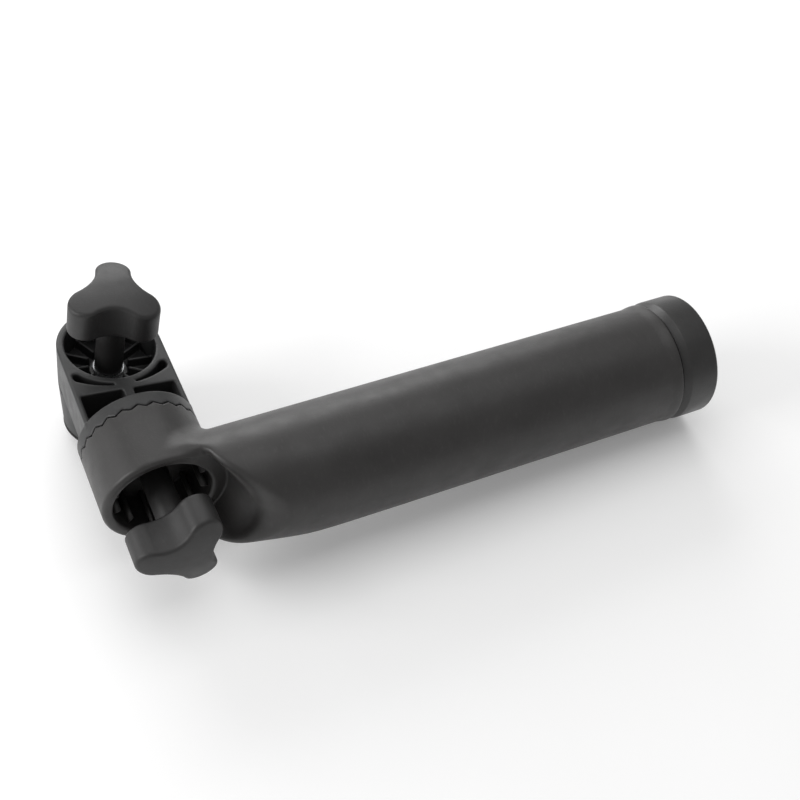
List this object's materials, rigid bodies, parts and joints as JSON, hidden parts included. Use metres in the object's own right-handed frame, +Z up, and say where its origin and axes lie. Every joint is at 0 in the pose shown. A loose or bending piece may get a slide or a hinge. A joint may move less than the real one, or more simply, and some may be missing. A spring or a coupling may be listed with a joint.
{
  "type": "rod holder",
  "caption": "Two-axis fishing rod holder for a boat: toothed swivel base, bracket arm and rod tube on a toothed tilt hub, each clamped by a three-lobed knob.",
  "frame": {"origin": "middle of the base's deck face, on the swivel axis", "axes": "+Z up along the swivel axis, +X the way the rod tube points, tilt axis along Y with the hub's open mouth towards -Y"},
  "size_m": [0.2629, 0.1272, 0.0934],
  "materials": {
    "base_plastic": "fine moulded texture, glass-filled nylon, near black",
    "gasket_rubber": "matt black sheet rubber",
    "bracket_plastic": "fine moulded texture, glass-filled nylon, near black",
    "tube_plastic": "fine moulded texture, glass-filled nylon, near black",
    "collar_plastic": "satin, near black",
    "knob_plastic": "moulded texture, near black",
    "pad_rubber": "matt black rubber",
    "bush_nylon": "natural acetal",
    "slip_nylon": "black nylon",
    "stainless": "stainless steel",
    "spring_steel": "stainless spring steel",
    "insert_brass": "knurled brass"
  },
  "bodies": {
    "base": {"base": "base_plastic", "base_gasket": "gasket_rubber", "swivel_bolt": "stainless", "swivel_bolt_clip": "spring_steel", "swivel_spring": "spring_steel"},
    "swivel_bush": {"swivel_bush": "bush_nylon"},
    "bracket": {"bracket": "bracket_plastic", "swivel_slip_washer": "slip_nylon", "tilt_bolt": "stainless", "tilt_bolt_clip": "spring_steel", "tilt_spring": "spring_steel"},
    "swivel_washer": {"swivel_washer": "stainless"},
    "swivel_knob": {"swivel_knob": "knob_plastic", "swivel_knob_insert": "insert_brass"},
    "tilt_bush": {"tilt_bush": "bush_nylon"},
    "rod_tube": {"rod_tube": "tube_plastic", "butt_pad": "pad_rubber", "mouth_collar": "collar_plastic", "tilt_slip_washer": "slip_nylon"},
    "tilt_washer": {"tilt_washer": "stainless"},
    "tilt_knob": {"tilt_knob": "knob_plastic", "tilt_knob_insert": "insert_brass"}
  },
  "joints": [
    {"name": "swivel_lift", "type": "slide", "parent": "base", "child": "swivel_bush", "axis": [0, 0, 1], "range_m": [0, 0.0026], "deforming": ["swivel_spring"]},
    {"name": "swivel_turn", "type": "hinge", "parent": "swivel_bush", "child": "bracket", "pos_m": [0, 0, 0.027], "axis": [0, 0, 1], "continuous": true},
    {"name": "swivel_knob_travel", "type": "slide", "parent": "base", "child": "swivel_washer", "axis": [0, 0, 1], "range_m": [0, 0.0025]},
    {"name": "swivel_knob_turn", "type": "hinge", "parent": "swivel_washer", "child": "swivel_knob", "pos_m": [0, 0, 0.06], "axis": [0, 0, 1], "range_deg": [0, 901]},
    {"name": "tilt_release", "type": "slide", "parent": "bracket", "child": "tilt_bush", "axis": [0, -1, 0], "range_m": [0, 0.0026], "deforming": ["tilt_spring"]},
    {"name": "tilt_turn", "type": "hinge", "parent": "tilt_bush", "child": "rod_tube", "pos_m": [0, -0.045, 0.034], "axis": [0, -1, 0], "continuous": true},
    {"name": "tilt_knob_travel", "type": "slide", "parent": "bracket", "child": "tilt_washer", "axis": [0, -1, 0], "range_m": [0, 0.0025]},
    {"name": "tilt_knob_turn", "type": "hinge", "parent": "tilt_washer", "child": "tilt_knob", "pos_m": [0, -0.088, 0.034], "axis": [0, -1, 0], "range_deg": [0, 901]}
  ],
  "couplings": [
    {"joint": "swivel_knob_turn", "follows": "swivel_knob_travel", "rad_per_m": 6283.2},
    {"joint": "swivel_lift", "follows": "swivel_knob_travel", "ratio": 1},
    {"joint": "tilt_knob_turn", "follows": "tilt_knob_travel", "rad_per_m": 6283.2},
    {"joint": "tilt_release", "follows": "tilt_knob_travel", "ratio": 1}
  ]
}
